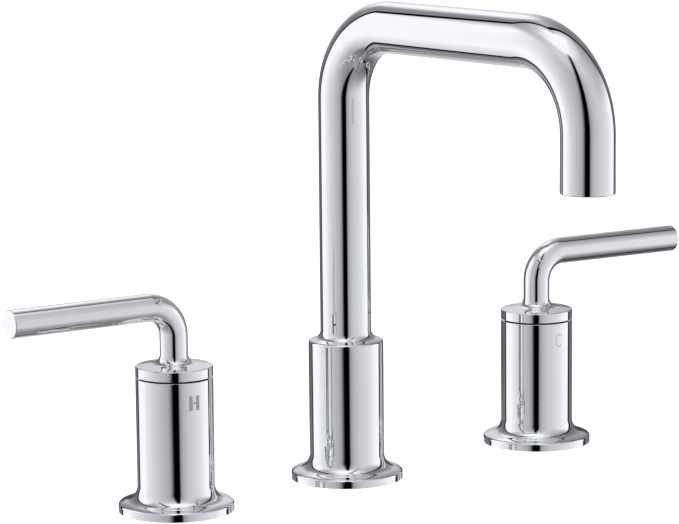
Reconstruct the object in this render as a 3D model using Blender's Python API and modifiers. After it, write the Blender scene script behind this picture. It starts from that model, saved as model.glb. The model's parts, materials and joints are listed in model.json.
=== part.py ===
# Widespread bathroom faucet: a bent tube spout standing between two lever valves.
# Metres, +Z up. The origin is on the deck under the spout's axis. +X runs along the row towards
# the cold valve, and -Y towards the user, the way the spout reaches.

import math

import bmesh
import bpy
from mathutils import Matrix

# Layout of the three stations on the deck
handle_centres = 0.2032
spout_offset = 0.0098
deck_thickness = 0.0200
hot_turn_deg = -5.0
cold_turn_deg = -7.0

# Clearances and overruns
gap = 0.0003
overrun = 0.0020
proud = 0.00005
merge_distance = 0.00001

# Facets, and the angles past which an edge counts as sharp
outer_sides = 20
rod_sides = 16
inner_sides = 16
small_sides = 12
ring_sides = 5
bend_steps = 7
bore_bend_steps = 5
chamfered_edge_deg = 60.0
shaded_edge_deg = 32.0

# Plated outer form, shared by the two escutcheons and the spout base
flange_width = 0.00805
flange_edge = 0.0024
flange_edge_round = 0.0013
flange_rim_angle_deg = 65.0
flange_cove_angle_deg = 76.0
flange_dome_share = 1.8
top_edge_break = 0.0004

# Deck gasket, let into the underside of each flange
gasket_edge_inset = 0.0018
gasket_bore_inset = 0.0018
gasket_thickness = 0.0017

# Escutcheon
escutcheon_top = 0.0565
escutcheon_wall = 0.0020
escutcheon_foot_step = 0.00175
thread_ring_bottom = 0.0090
thread_ring_top = 0.0215
thread_ring_taper = 0.0020
glide_ledge_height = 0.0025
glide_ring_height = 0.0030
glide_ring_width = 0.0014

# Lever handle
seam_height = 0.0006
cap_side_height = 0.0043
cap_edge_round = 0.0006
cap_rise = 0.0009
rod_radius = 0.0059
rod_foot_fillet = 0.0027
lever_neck = 0.0090
lever_length = 0.0766
lever_bend_radius = 0.0128
lever_end_chamfer = 0.0005
handle_boss_wall = 0.0040
handle_boss_length = 0.0063
handle_bore_roof = 0.0008

# Set screw in the back of the lever handle's cap
set_screw_radius = 0.00125
set_screw_length = 0.0060
set_screw_socket_radius = 0.0007
set_screw_socket_depth = 0.0016

# Valve body: shank, cartridge chamber, block and threaded ends
chamber_wall = 0.0026
shank_shoulder = 0.0006
shank_clearance = 0.00125
shank_spare = 0.0020
block_step = 0.0025
block_half_height = 0.0160
block_chamfer = 0.0020
inlet_bore_radius = 0.0042
inlet_nipple_radius = 0.0104
inlet_nipple_length = 0.0190
side_nipple_radius = 0.0083
side_nipple_reach = 0.0300
side_bore_radius = 0.0048
side_bore_start = 0.0072
side_outlet_height = -0.0700
outlet_passage_radius = 0.0018
outlet_passage_spread_deg = 26.0
outlet_passage_end_share = 0.65
nipple_chamfer = 0.0010

# Ceramic disc cartridge
journal_radius = 0.0048
spline_step = 0.0006
spline_depth = 0.0008
spline_teeth = 8
tooth_tip_share = 0.15
tooth_root_share = 0.30
spindle_reach = 0.0035
spindle_chamfer = 0.0004
spindle_foot_height = 0.0040
tang_width = 0.0034
tang_inset = 0.0009
tang_depth = 0.0012
disc_radius = 0.0069
disc_clearance = 0.0004
disc_thickness = 0.0034
disc_slot_depth = 0.0015
port_inner_radius = 0.0021
port_rim = 0.0013
port_angle_deg = 74.0
barrel_wall = 0.0013
barrel_clearance = 0.0012
barrel_floor_gap = 0.0015
barrel_neck_wall = 0.0019
barrel_neck_height = 0.0060
barrel_neck_play = 0.0005
bonnet_hex_overhang = 0.0002
bonnet_hex_height = 0.0040
bonnet_thread_length = 0.0072
window_height = 0.0042
window_width = 0.0080
seal_width = 0.0011
seal_height = 0.0043
spindle_ring_section = 0.0006
cartridge_ring_section = 0.0007
ring_groove_share = 3.2

# Clamp under the deck
washer_radius = 0.0215
rubber_washer_thickness = 0.0030
steel_washer_thickness = 0.0012
locknut_flats = 0.0360
locknut_height = 0.0080
locknut_collar_height = 0.0020

# Spout base and shank
base_top = 0.0611
base_edge_round = 0.0014
base_slope_deg = 20.0
tube_foot_fillet_share = 0.55
tube_foot_land = 0.0003
tube_socket_depth = 0.0131
socket_ledge_width = 0.0026
socket_ledge_height = 0.0030
spout_shank_radius = 0.01045
spout_shank_bore = 0.0068
base_thread_bottom = 0.0160
shank_ring_section = 0.0009
shank_ring_drop = 0.0060

# Spout tube
tube_radius = 0.0110
tube_wall = 0.0020
arm_height = 0.1982
spout_reach = 0.1523
first_bend_radius = 0.0321
second_bend_radius = 0.0348
outlet_drop = 0.0231
tip_chamfer = 0.0004

# Aerator in the spout's tip
aerator_pocket_depth = 0.0150
aerator_pocket_step = 0.0006
aerator_wall = 0.0015
aerator_recess = 0.0006
aerator_lip_width = 0.0009
aerator_lip_height = 0.0008
aerator_gasket_thickness = 0.0017
aerator_gasket_width = 0.0024
aerator_insert_height = 0.0080
aerator_hole_radius = 0.0011
aerator_hole_pitch = 0.0031
aerator_notch_width = 0.0018
aerator_notch_depth = 0.0012
aerator_notches = 4
aerator_notch_turn_deg = 45.0
aerator_outer_holes = 6

# Inlet tee on the spout shank
tee_radius = 0.0150
tee_socket_depth = 0.0130
tee_chamber_depth = 0.0110
tee_floor = 0.0040
tee_gasket_thickness = 0.0015

# Connecting tubes from the valves' side outlets to the tee, and their coupling nuts
link_tube_radius = 0.0052
link_tube_wall = 0.0010
link_collar_radius = 0.0074
link_collar_length = 0.0018
link_gasket_thickness = 0.0015
link_nut_flats = 0.0210
link_nut_back = 0.0026
link_nut_grip = 0.0065

# Places that follow from the sizes above
hot_x = spout_offset - handle_centres / 2
cold_x = spout_offset + handle_centres / 2
disc_bore = disc_radius + disc_clearance
barrel_radius = disc_bore + barrel_wall
barrel_neck_radius = journal_radius + gap + barrel_neck_wall
chamber_radius = barrel_radius + barrel_clearance
neck_radius = chamber_radius + chamber_wall
shank_radius = neck_radius + shank_shoulder
shank_top = thread_ring_top + shank_spare
block_radius = shank_radius + block_step
block_top = side_outlet_height + block_half_height
block_bottom = side_outlet_height - block_half_height
escutcheon_bore = shank_radius + shank_clearance
escutcheon_foot_bore = escutcheon_bore + escutcheon_foot_step
body_radius = escutcheon_bore + escutcheon_wall
flange_radius = body_radius + flange_width
gasket_outer_radius = flange_radius - gasket_edge_inset
gasket_inner_radius = escutcheon_foot_bore + gasket_bore_inset
spline_tip_radius = journal_radius - spline_step
spline_root_radius = spline_tip_radius - spline_depth
handle_boss_radius = spline_tip_radius + gap + handle_boss_wall
tube_foot_fillet = (body_radius - tube_radius) * tube_foot_fillet_share
cap_bottom = escutcheon_top + seam_height
cap_edge_top = cap_bottom + cap_side_height
rod_foot = cap_edge_top + cap_rise
lever_height = rod_foot + rod_foot_fillet + lever_neck + lever_bend_radius
spindle_top = cap_bottom + spindle_reach
handle_boss_bottom = cap_bottom - handle_boss_length
bonnet_top = handle_boss_bottom - barrel_neck_play - barrel_neck_height
valve_top = bonnet_top - bonnet_hex_height - gap
locknut_top = -deck_thickness - rubber_washer_thickness - steel_washer_thickness - 3 * gap
foot_top = valve_top - bonnet_thread_length
foot_bottom = foot_top - spindle_foot_height
moving_disc_top = foot_bottom - gap
fixed_disc_top = moving_disc_top - disc_thickness - gap
seal_top = fixed_disc_top - disc_thickness - gap
chamber_floor = seal_top - seal_height - gap
barrel_bottom = chamber_floor + barrel_floor_gap
tube_bottom = base_top - tube_socket_depth + gap
shank_top_end = base_top - tube_socket_depth - socket_ledge_height - gap
tee_shoulder = side_outlet_height + tee_chamber_depth / 2
spout_shank_bottom = tee_shoulder + tee_gasket_thickness + 2 * gap
tip_height = arm_height - second_bend_radius - outlet_drop


def clear_scene():
    for old in list(bpy.data.objects):
        bpy.data.objects.remove(old, do_unlink=True)


def new_collection(name):
    group = bpy.data.collections.new(name)
    bpy.context.scene.collection.children.link(group)
    return group


def new_material(name, colour, metallic, roughness):
    material = bpy.data.materials.new(name)
    material.use_nodes = True
    shader = material.node_tree.nodes["Principled BSDF"]
    shader.inputs["Base Color"].default_value = (*colour, 1.0)
    shader.inputs["Metallic"].default_value = metallic
    shader.inputs["Roughness"].default_value = roughness
    return material


def new_empty(name, x, turn_deg):
    """An empty on a station's vertical axis, turned about it."""
    empty = bpy.data.objects.new(name, None)
    empty.location = (x, 0, 0)
    empty.rotation_euler = (0, 0, math.radians(turn_deg))
    parts.objects.link(empty)
    return empty


def place(shape, station, group, material=None):
    """Puts an object in its collection, under its station, with its material."""
    group.objects.link(shape)
    shape.parent = station
    if group is cutters:
        shape.hide_render = True
        shape.display_type = "WIRE"
    if material:
        shape.data.materials.append(material)
    return shape


def arc(centre_r, centre_z, radius, start_deg, end_deg, steps):
    """Points (r, z) along an arc, angles measured up from the outward direction."""
    points = []
    for step in range(steps + 1):
        angle = math.radians(start_deg + (end_deg - start_deg) * step / steps)
        points.append((centre_r + radius * math.cos(angle), centre_z + radius * math.sin(angle)))
    return points


def turned(name, outline, station, group, sides, material=None, ring=True):
    """A turned shape. Its outline runs down the outer side, and a ring's closes on itself."""
    mesh = bpy.data.meshes.new(name)
    count = len(outline)
    edges = [(i, i + 1) for i in range(count - 1)]
    if ring:
        edges.append((count - 1, 0))
    mesh.from_pydata([(r, 0, z) for r, z in outline], edges, [])
    shape = place(bpy.data.objects.new(name, mesh), station, group, material)
    screw = shape.modifiers.new("turn", "SCREW")
    screw.angle = math.tau
    screw.steps = sides
    screw.render_steps = sides
    screw.use_merge_vertices = True
    screw.merge_threshold = merge_distance
    return shape


def tube_ring(name, inner, outer, bottom, top, station, material, sides=inner_sides):
    """A plain ring of square section, such as a washer."""
    outline = [(inner, top), (outer, top), (outer, bottom), (inner, bottom)]
    return turned(name, outline, station, parts, sides, material)


def o_ring(name, centre_radius, section, height, station, material):
    """A rubber ring of round section."""
    outline = arc(centre_radius, height, section, 90, -270, ring_sides)[:-1]
    return turned(name, outline, station, parts, inner_sides, material)


def prism(name, radius, bottom, top, sides, station, group, material=None, angle_deg=0.0):
    """An upright prism or cylinder from its bottom height to its top height."""
    mesh = bpy.data.meshes.new(name)
    shape = bmesh.new()
    bmesh.ops.create_cone(shape, cap_ends=True, segments=sides, radius1=radius, radius2=radius,
                          depth=top - bottom)
    bmesh.ops.rotate(shape, verts=shape.verts, matrix=turn_about("Z", angle_deg))
    bmesh.ops.translate(shape, verts=shape.verts, vec=(0, 0, (top + bottom) / 2))
    shape.to_mesh(mesh)
    shape.free()
    return place(bpy.data.objects.new(name, mesh), station, group, material)


def turn_about(axis, angle_deg):
    return Matrix.Rotation(math.radians(angle_deg), 3, axis)


def side_cylinder(name, radius, start, end, height, heading_deg, sides, station, group,
                  material=None):
    """A level cylinder on the line that leaves the station's axis at a heading."""
    mesh = bpy.data.meshes.new(name)
    shape = bmesh.new()
    bmesh.ops.create_cone(shape, cap_ends=True, segments=sides, radius1=radius, radius2=radius,
                          depth=end - start)
    bmesh.ops.translate(shape, verts=shape.verts, vec=(0, 0, (start + end) / 2))
    bmesh.ops.rotate(shape, verts=shape.verts, matrix=turn_about("Y", 90))
    bmesh.ops.rotate(shape, verts=shape.verts, matrix=turn_about("Z", heading_deg))
    bmesh.ops.translate(shape, verts=shape.verts, vec=(0, 0, height))
    shape.to_mesh(mesh)
    shape.free()
    return place(bpy.data.objects.new(name, mesh), station, group, material)


def box(name, size, centre, station, group, angle_deg=0.0):
    """A box of the given size about its centre, turned about the station's axis."""
    mesh = bpy.data.meshes.new(name)
    shape = bmesh.new()
    bmesh.ops.create_cube(shape, size=1)
    bmesh.ops.scale(shape, verts=shape.verts, vec=size)
    bmesh.ops.translate(shape, verts=shape.verts, vec=centre)
    bmesh.ops.rotate(shape, verts=shape.verts, matrix=turn_about("Z", angle_deg))
    shape.to_mesh(mesh)
    shape.free()
    return place(bpy.data.objects.new(name, mesh), station, group)


def flat_prism(name, outline, bottom, top, station, group, material=None):
    """A flat closed outline (x, y) raised between two heights."""
    outline_curve = bpy.data.curves.new(name, "CURVE")
    outline_curve.dimensions = "2D"
    outline_curve.fill_mode = "BOTH"
    outline_curve.extrude = (top - bottom) / 2
    spline = outline_curve.splines.new("POLY")
    spline.points.add(len(outline) - 1)
    for point, (x, y) in zip(spline.points, outline):
        point.co = (x, y, 0, 1)
    spline.use_cyclic_u = True
    shape = curve_to_mesh(name, outline_curve, station, group, material)
    shape.data.transform(Matrix.Translation((0, 0, (top + bottom) / 2)))
    return shape


def swept(name, points, radius, sides, station, group, material=None):
    """A round bar along a path of points, with flat ends."""
    path = bpy.data.curves.new(name, "CURVE")
    path.dimensions = "3D"
    path.bevel_depth = radius
    path.bevel_resolution = (sides - 4) // 2
    path.use_fill_caps = True
    spline = path.splines.new("POLY")
    spline.points.add(len(points) - 1)
    for point, place_on_path in zip(spline.points, points):
        point.co = (*place_on_path, 1)
    return curve_to_mesh(name, path, station, group, material)


def curve_to_mesh(name, curve, station, group, material):
    """Makes a curve a mesh object with welded caps."""
    guide = bpy.data.objects.new(name + "_path", curve)
    bpy.context.scene.collection.objects.link(guide)
    bpy.context.view_layer.update()
    graph = bpy.context.evaluated_depsgraph_get()
    mesh = bpy.data.meshes.new_from_object(guide.evaluated_get(graph))
    mesh.transform(guide.matrix_world)
    bpy.data.objects.remove(guide, do_unlink=True)
    welded = bmesh.new()
    welded.from_mesh(mesh)
    bmesh.ops.remove_doubles(welded, verts=welded.verts, dist=merge_distance)
    bmesh.ops.recalc_face_normals(welded, faces=welded.faces)
    welded.to_mesh(mesh)
    welded.free()
    mesh.name = name
    return place(bpy.data.objects.new(name, mesh), station, group, material)


def break_edges(shape, width):
    """A small chamfer on a shape's sharp edges."""
    bevel = shape.modifiers.new("chamfer", "BEVEL")
    bevel.width = width
    bevel.segments = 1
    bevel.limit_method = "ANGLE"
    bevel.angle_limit = math.radians(chamfered_edge_deg)


def combine(target, tool, operation):
    boolean = target.modifiers.new(operation.lower(), "BOOLEAN")
    boolean.object = tool
    boolean.operation = operation
    boolean.solver = "EXACT"


def cut(target, tool):
    combine(target, tool, "DIFFERENCE")


def join(target, tool):
    combine(target, tool, "UNION")


def quarter_bend(corner, arrive, leave, radius, steps=bend_steps):
    """Points of a quarter bend that rounds the corner between two square directions."""
    points = []
    for step in range(steps + 1):
        angle = math.pi / 2 * step / steps
        points.append(tuple(
            c - radius * a + radius * b + radius * (a * math.sin(angle) - b * math.cos(angle))
            for c, a, b in zip(corner, arrive, leave)))
    return points


def sector(inner, outer, spread_deg, heading_deg, steps=5):
    """Outline (x, y) of a ring's sector, centred on a heading."""
    first = heading_deg - spread_deg / 2
    points = arc(0, 0, outer, first, first + spread_deg, steps)
    return points + arc(0, 0, inner, first + spread_deg, first, steps)


def spline_outline(clearance):
    """Outline (x, y) of the toothed end that turns with the handle."""
    points = []
    for tooth in range(spline_teeth):
        for share, radius in ((-tooth_root_share, spline_root_radius),
                              (-tooth_tip_share, spline_tip_radius),
                              (tooth_tip_share, spline_tip_radius),
                              (tooth_root_share, spline_root_radius)):
            angle = math.tau * (tooth + share) / spline_teeth
            reach = radius + clearance
            points.append((reach * math.cos(angle), reach * math.sin(angle)))
    return points


def flange_outline():
    """The plated form from the straight body down over the cove, dome and rim to the deck."""
    rim_r = flange_radius - flange_edge_round
    dome_radius = flange_dome_share * (flange_radius - body_radius)
    rim = arc(rim_r, flange_edge, flange_edge_round, flange_rim_angle_deg, 0, 2)
    start_r, start_z = rim[0]
    cos_rim = math.cos(math.radians(flange_rim_angle_deg))
    sin_rim = math.sin(math.radians(flange_rim_angle_deg))
    dome = arc(start_r - dome_radius * cos_rim, start_z - dome_radius * sin_rim, dome_radius,
               flange_cove_angle_deg, flange_rim_angle_deg, 2)
    cove_r, cove_z = dome[0]
    cos_cove = math.cos(math.radians(flange_cove_angle_deg))
    sin_cove = math.sin(math.radians(flange_cove_angle_deg))
    cove_radius = (cove_r - body_radius) / (1 - cos_cove)
    cove = arc(body_radius + cove_radius, cove_z + cove_radius * sin_cove, cove_radius,
               180, 180 + flange_cove_angle_deg, 4)
    return cove[:-1] + dome[:-1] + rim + [(flange_radius, 0)]


def flange_underside(foot_bore):
    """The flange's flat underside, let in for the gasket as far as the foot's bore."""
    rebate = gasket_thickness + gap
    return [(gasket_outer_radius + gap, 0), (gasket_outer_radius + gap, rebate),
            (foot_bore, rebate)]


def make_escutcheon(name, station):
    """The plated shell over a valve, screwed down on the valve's shank."""
    thread = shank_radius + gap
    ledge = neck_radius + gap
    pocket_floor = escutcheon_top - glide_ring_height + gap
    counterbore = ledge + glide_ring_width + 2 * gap
    outline = [(counterbore, escutcheon_top), (body_radius - top_edge_break, escutcheon_top),
               (body_radius, escutcheon_top - top_edge_break)]
    outline += flange_outline() + flange_underside(escutcheon_foot_bore)
    outline += [(escutcheon_foot_bore, thread_ring_bottom - thread_ring_taper),
                (thread, thread_ring_bottom), (thread, thread_ring_top),
                (escutcheon_bore, thread_ring_top + thread_ring_taper),
                (escutcheon_bore, pocket_floor - glide_ledge_height),
                (ledge, pocket_floor - gap),
                (ledge, pocket_floor), (counterbore, pocket_floor)]
    return turned(name, outline, station, parts, outer_sides, chrome)


def make_glide_ring(name, station):
    """The nylon ring that the handle's cap turns on, in the escutcheon's mouth."""
    inner = neck_radius + 2 * gap
    bottom = escutcheon_top - glide_ring_height + 2 * gap
    return tube_ring(name, inner, inner + glide_ring_width, bottom, cap_bottom - gap, station,
                     nylon)


def make_deck_gasket(name, station):
    return tube_ring(name, gasket_inner_radius, gasket_outer_radius, 0, gasket_thickness,
                     station, rubber)


def make_clamp(side, station, shank):
    """Rubber washer, steel washer and locknut that clamp a shank from under the deck."""
    bore = shank + gap
    top = -deck_thickness
    tube_ring(side + "_rubber_washer", bore, washer_radius, top - rubber_washer_thickness, top,
              station, rubber)
    top -= rubber_washer_thickness + gap
    tube_ring(side + "_steel_washer", bore, washer_radius, top - steel_washer_thickness, top,
              station, steel)
    corner = locknut_flats / 2 / math.cos(math.pi / 6)
    bottom = locknut_top - locknut_height
    nut = prism(side + "_locknut", corner, bottom, locknut_top - locknut_collar_height, 6,
                station, parts, brass)
    collar = prism(side + "_locknut_collar", locknut_flats / 2 - proud,
                   bottom + locknut_collar_height, locknut_top, inner_sides, station, cutters)
    hole = prism(side + "_locknut_hole", bore, bottom - overrun, locknut_top + overrun,
                 inner_sides, station, cutters)
    join(nut, collar)
    cut(nut, hole)


def make_lever_handle(name, axis, back_side):
    """Cap, stem and lever in one casting, with a splined boss that drops over the spindle."""
    screw_height = (cap_bottom + cap_edge_top) / 2
    foot_r = rod_radius + proud
    fillet = arc(foot_r + rod_foot_fillet, rod_foot + rod_foot_fillet, rod_foot_fillet,
                 180, 270, 3)
    outline = [(0, rod_foot + rod_foot_fillet)] + fillet
    outline += arc(body_radius - cap_edge_round, cap_edge_top - cap_edge_round, cap_edge_round,
                   90, 0, 2)
    outline += [(body_radius, cap_bottom), (handle_boss_radius, cap_bottom),
                (handle_boss_radius, handle_boss_bottom), (0, handle_boss_bottom)]
    handle = turned(name, outline, axis, parts, outer_sides, chrome, ring=False)
    corner = (0, 0, lever_height)
    path = [(0, 0, rod_foot + rod_foot_fillet / 2)]
    path += quarter_bend(corner, (0, 0, 1), (1, 0, 0), lever_bend_radius)
    path += [(lever_length, 0, lever_height)]
    rod = swept(name + "_rod", path, rod_radius, rod_sides, axis, cutters)
    break_edges(rod, lever_end_chamfer)
    bore = flat_prism(name + "_bore", spline_outline(gap), handle_boss_bottom - overrun,
                      spindle_top + handle_bore_roof, axis, cutters)
    screw_hole = side_cylinder(name + "_screw_hole", set_screw_radius + gap,
                               spline_root_radius, body_radius + overrun, screw_height,
                               90 * back_side, small_sides, axis, cutters)
    join(handle, rod)
    cut(handle, bore)
    cut(handle, screw_hole)


def make_set_screw(name, axis, back_side):
    """A headless screw with a hexagon socket, in from the back of the cap."""
    screw_height = (cap_bottom + cap_edge_top) / 2
    tip = spline_tip_radius + gap
    end = tip + set_screw_length
    screw = side_cylinder(name, set_screw_radius, tip, end, screw_height, 90 * back_side,
                          small_sides, axis, parts, steel)
    socket = side_cylinder(name + "_socket", set_screw_socket_radius,
                           end - set_screw_socket_depth, end + overrun, screw_height,
                           90 * back_side, 6, axis, cutters)
    cut(screw, socket)


def make_valve_body(name, station, outlet_deg):
    """Brass body: supply nipple, block with a side outlet, threaded shank, open chamber."""
    nipple_bottom = block_bottom - inlet_nipple_length
    outline = [(0, valve_top), (neck_radius, valve_top), (neck_radius, shank_top),
               (shank_radius, shank_top - (shank_radius - neck_radius)),
               (shank_radius, block_top + block_chamfer),
               (block_radius, block_top), (block_radius, block_bottom + block_chamfer),
               (block_radius - block_chamfer, block_bottom),
               (inlet_nipple_radius, block_bottom),
               (inlet_nipple_radius, nipple_bottom + nipple_chamfer),
               (inlet_nipple_radius - nipple_chamfer, nipple_bottom), (0, nipple_bottom)]
    body = turned(name, outline, station, parts, inner_sides, brass, ring=False)
    outlet = side_cylinder(name + "_outlet", side_nipple_radius, block_radius / 2,
                           side_nipple_reach, side_outlet_height, outlet_deg, small_sides,
                           station, cutters)
    break_edges(outlet, nipple_chamfer)
    core_outline = [(0, valve_top + overrun), (chamber_radius, valve_top + overrun),
                    (chamber_radius, chamber_floor), (inlet_bore_radius, chamber_floor),
                    (inlet_bore_radius, nipple_bottom - overrun), (0, nipple_bottom - overrun)]
    core = turned(name + "_core", core_outline, station, cutters, inner_sides, ring=False)
    side_bore = side_cylinder(name + "_side_bore", side_bore_radius, side_bore_start,
                              side_nipple_reach + overrun, side_outlet_height, outlet_deg,
                              small_sides, station, cutters)
    join(body, outlet)
    cut(body, side_bore)
    passage_reach = chamber_radius - outlet_passage_radius / 4
    for number, share in enumerate((-1, 0, 1)):
        heading = math.radians(outlet_deg + share * outlet_passage_spread_deg)
        passage = prism(name + "_passage_%d" % number, outlet_passage_radius,
                        side_outlet_height - side_bore_radius * outlet_passage_end_share,
                        chamber_floor + overrun, small_sides // 2, station, cutters)
        passage.location = (passage_reach * math.cos(heading), passage_reach * math.sin(heading),
                            0)
        cut(body, passage)
    cut(body, core)


def make_cartridge_housing(name, station):
    """Brass bonnet and barrel, with side windows, screwed into the valve's chamber."""
    hex_bottom = valve_top + gap
    neck_top = bonnet_top + barrel_neck_height
    thread = chamber_radius - gap
    ring_centre = thread - cartridge_ring_section
    groove_floor = ring_centre - cartridge_ring_section - gap
    groove_half = cartridge_ring_section * ring_groove_share / 2
    groove_z = cartridge_ring_height()
    outline = [(0, neck_top), (barrel_neck_radius - spindle_chamfer, neck_top),
               (barrel_neck_radius, neck_top - spindle_chamfer),
               (barrel_neck_radius, hex_bottom + bonnet_hex_height / 2),
               (thread, hex_bottom + bonnet_hex_height / 2),
               (thread, groove_z + groove_half), (groove_floor, groove_z + groove_half),
               (groove_floor, groove_z - groove_half), (thread, groove_z - groove_half),
               (thread, foot_top + gap), (barrel_radius, foot_top), (barrel_radius, barrel_bottom),
               (0, barrel_bottom)]
    housing = turned(name, outline, station, parts, inner_sides, brass, ring=False)
    hex_corner = (chamber_radius + bonnet_hex_overhang) / math.cos(math.pi / 6)
    hexagon = prism(name + "_hex", hex_corner, hex_bottom, bonnet_top, 6, station, cutters)
    core_outline = [(0, neck_top + overrun), (journal_radius + gap, neck_top + overrun),
                    (journal_radius + gap, foot_top + gap), (disc_bore, foot_top + gap),
                    (disc_bore, barrel_bottom - overrun), (0, barrel_bottom - overrun)]
    core = turned(name + "_core", core_outline, station, cutters, inner_sides, ring=False)
    window = box(name + "_windows", (window_width, 2 * body_radius, window_height),
                 (0, 0, moving_disc_top - disc_thickness / 2), station, cutters)
    join(housing, hexagon)
    cut(housing, core)
    cut(housing, window)


def cartridge_ring_height():
    return (valve_top + foot_top) / 2


def spindle_ring_height():
    return valve_top + gap + bonnet_hex_height / 2


def make_spindle(name, axis):
    """Brass spindle: splined end, journal with a seal groove, foot and driving tang."""
    ring_centre = journal_radius - spindle_ring_section
    groove_floor = ring_centre - spindle_ring_section - gap
    groove_half = spindle_ring_section * ring_groove_share / 2
    groove_z = spindle_ring_height()
    shoulder = handle_boss_bottom - gap
    outline = [(0, shoulder), (journal_radius, shoulder),
               (journal_radius, groove_z + groove_half), (groove_floor, groove_z + groove_half),
               (groove_floor, groove_z - groove_half), (journal_radius, groove_z - groove_half),
               (journal_radius, foot_top), (disc_radius, foot_top),
               (disc_radius, foot_bottom), (0, foot_bottom)]
    spindle = turned(name, outline, axis, parts, small_sides, brass, ring=False)
    toothed = flat_prism(name + "_spline", spline_outline(0), groove_z + groove_half + gap,
                         spindle_top, axis, cutters)
    tang_length = 2 * (disc_radius - tang_inset)
    tang = box(name + "_tang", (tang_length, tang_width, tang_depth + spindle_foot_height / 2),
               (0, 0, foot_bottom - (tang_depth - spindle_foot_height / 2) / 2), axis, cutters)
    join(spindle, toothed)
    join(spindle, tang)


def make_disc(name, station, top, heading_deg, slotted):
    """A ceramic disc with two sector ports, and a driving slot where the spindle turns it."""
    bottom = top - disc_thickness
    port_outer_radius = disc_radius - port_rim
    disc = prism(name, disc_radius, bottom, top, small_sides, station, parts, ceramic)
    for number in range(2):
        port = flat_prism(name + "_port_%d" % number,
                          sector(port_inner_radius, port_outer_radius, port_angle_deg,
                                 heading_deg + 180 * number),
                          bottom - overrun, top + overrun, station, cutters)
        cut(disc, port)
    if slotted:
        slot = box(name + "_slot", (3 * disc_radius, tang_width + 2 * gap, 2 * disc_slot_depth),
                   (0, 0, top), station, cutters)
        cut(disc, slot)


def make_cartridge(side, station, axis):
    make_cartridge_housing(side + "_cartridge_housing", station)
    make_spindle(side + "_cartridge_spindle", axis)
    make_disc(side + "_moving_disc", axis, moving_disc_top, 90, True)
    make_disc(side + "_fixed_disc", station, fixed_disc_top, 0, False)
    tube_ring(side + "_cartridge_seal", disc_radius - seal_width, disc_radius,
              chamber_floor + gap, seal_top, station, rubber, small_sides)
    o_ring(side + "_spindle_o_ring", journal_radius - spindle_ring_section, spindle_ring_section,
           spindle_ring_height(), axis, rubber)
    o_ring(side + "_cartridge_o_ring", chamber_radius - gap - cartridge_ring_section,
           cartridge_ring_section, cartridge_ring_height(), station, rubber)


def make_valve(side, x, lever_deg, outlet_deg, back_side):
    """Everything at one valve station, fixed parts on the station and moving ones on the axis."""
    station = new_empty(side + "_station", x, 0)
    axis = new_empty(side + "_lever_axis", x, lever_deg)
    make_lever_handle(side + "_lever_handle", axis, back_side)
    make_set_screw(side + "_handle_set_screw", axis, back_side)
    make_glide_ring(side + "_glide_ring", station)
    make_escutcheon(side + "_escutcheon", station)
    make_deck_gasket(side + "_deck_gasket", station)
    make_valve_body(side + "_valve_body", station, outlet_deg)
    make_cartridge(side, station, axis)
    make_clamp(side, station, shank_radius)


def make_spout_base(station):
    """The turned base that stands on the deck, with the tube's socket in its top."""
    socket = tube_radius + gap
    land = socket + tube_foot_land
    socket_floor = base_top - tube_socket_depth
    ledge = socket - socket_ledge_width
    thread = spout_shank_radius + gap
    slope = math.radians(base_slope_deg)
    edge = arc(body_radius - base_edge_round, base_top - base_edge_round, base_edge_round,
               90 - base_slope_deg, 0, 2)
    edge_r, edge_z = edge[0]
    meet_r = land + tube_foot_fillet * (1 - math.sin(slope))
    meet_z = edge_z + (edge_r - meet_r) * math.tan(slope)
    fillet_top = meet_z + tube_foot_fillet * math.cos(slope)
    fillet = arc(land + tube_foot_fillet, fillet_top, tube_foot_fillet, 180,
                 270 - base_slope_deg, 3)
    outline = [(socket, fillet_top)] + fillet + edge
    outline += flange_outline() + flange_underside(escutcheon_bore)
    outline += [(escutcheon_bore, base_thread_bottom - thread_ring_taper),
                (thread, base_thread_bottom),
                (thread, socket_floor - socket_ledge_height),
                (ledge, socket_floor - socket_ledge_height), (ledge, socket_floor),
                (socket, socket_floor)]
    turned("spout_base", outline, station, parts, outer_sides, chrome)


def spout_path(extra, steps):
    """The tube's centre line: up, over and down, run past both ends by an extra length."""
    up_corner = (0, 0, arm_height)
    down_corner = (0, -spout_reach, arm_height)
    path = [(0, 0, tube_bottom - extra)]
    path += quarter_bend(up_corner, (0, 0, 1), (0, -1, 0), first_bend_radius, steps)
    path += quarter_bend(down_corner, (0, -1, 0), (0, 0, -1), second_bend_radius, steps)
    path += [(0, -spout_reach, tip_height - extra)]
    return path


def make_spout_tube(station):
    """The bent tube, bored from end to end, with a pocket for the aerator in its tip."""
    tube = swept("spout_tube", spout_path(0, bend_steps), tube_radius, outer_sides, station,
                 parts, chrome)
    break_edges(tube, tip_chamfer)
    bore = swept("spout_tube_bore", spout_path(overrun, bore_bend_steps),
                 tube_radius - tube_wall, inner_sides, station, cutters)
    pocket = prism("spout_tube_pocket", tube_radius - tube_wall + aerator_pocket_step,
                   tip_height - overrun, tip_height + aerator_pocket_depth, inner_sides, station,
                   cutters)
    pocket.location = (0, -spout_reach, 0)
    cut(tube, bore)
    cut(tube, pocket)


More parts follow.
